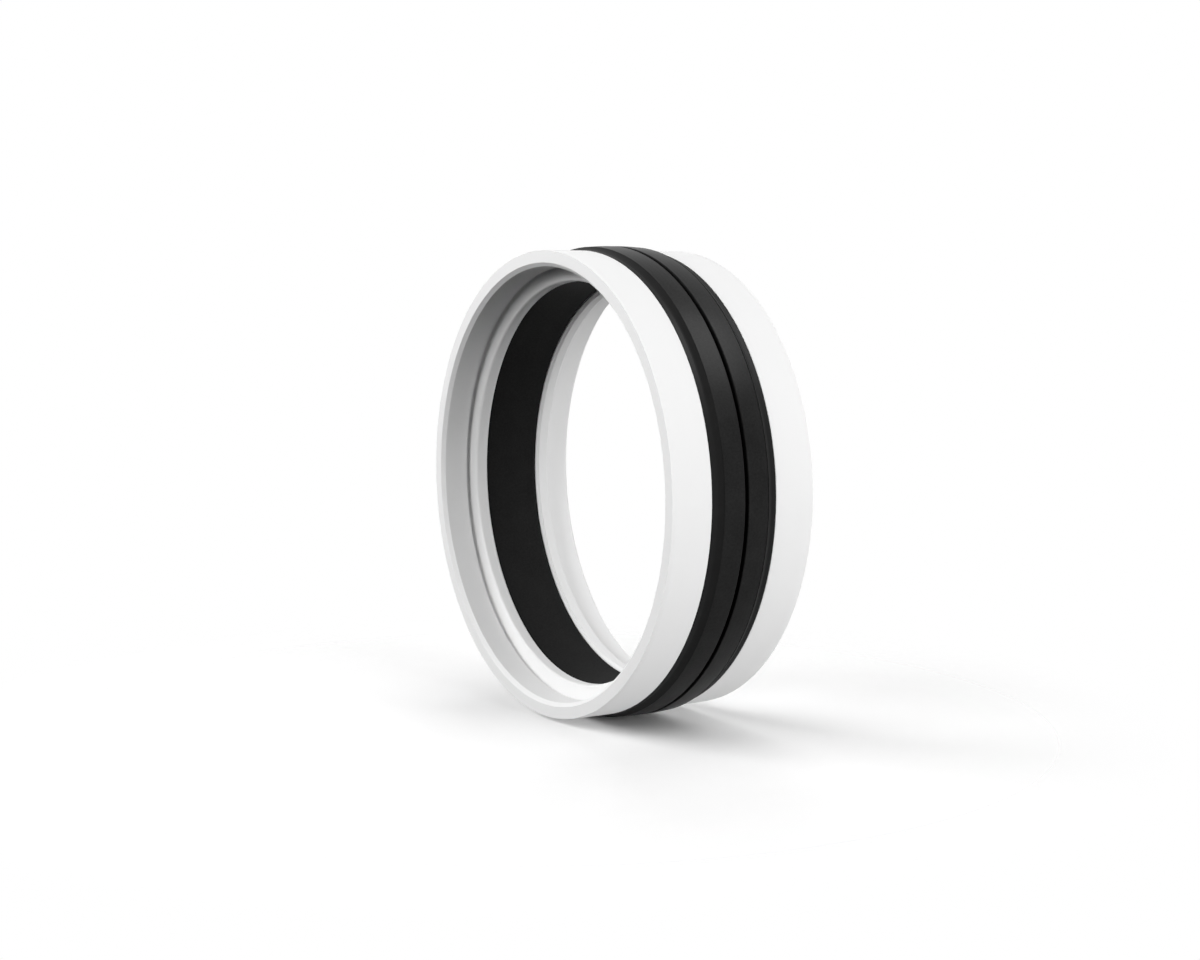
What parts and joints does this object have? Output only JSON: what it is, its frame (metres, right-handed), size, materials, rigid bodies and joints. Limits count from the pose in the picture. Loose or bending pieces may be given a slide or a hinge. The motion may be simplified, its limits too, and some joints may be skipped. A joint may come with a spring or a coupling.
{
  "type": "piston seal",
  "caption": "Double-acting compact piston seal: a black rubber ring with grooved outer lips, held between white guide rings that are stepped inside at both ends.",
  "frame": {"origin": "centre of the lower end face, where the seal's axis meets the surface it stands on", "axes": "+Z along the seal's axis, from the lower end to the upper end; X and Y are any radial directions"},
  "size_m": [0.102, 0.102, 0.034],
  "materials": {
    "white_acetal": "fine matte, moulded",
    "black_rubber": "smooth, half matte",
    "black_backup_plastic": "smooth, half matte"
  },
  "bodies": {
    "root": {"lower_guide_ring": "white_acetal", "lower_backup_ring": "black_backup_plastic", "rubber_seal_ring": "black_rubber", "upper_backup_ring": "black_backup_plastic", "upper_guide_ring": "white_acetal"}
  },
  "joints": []
}
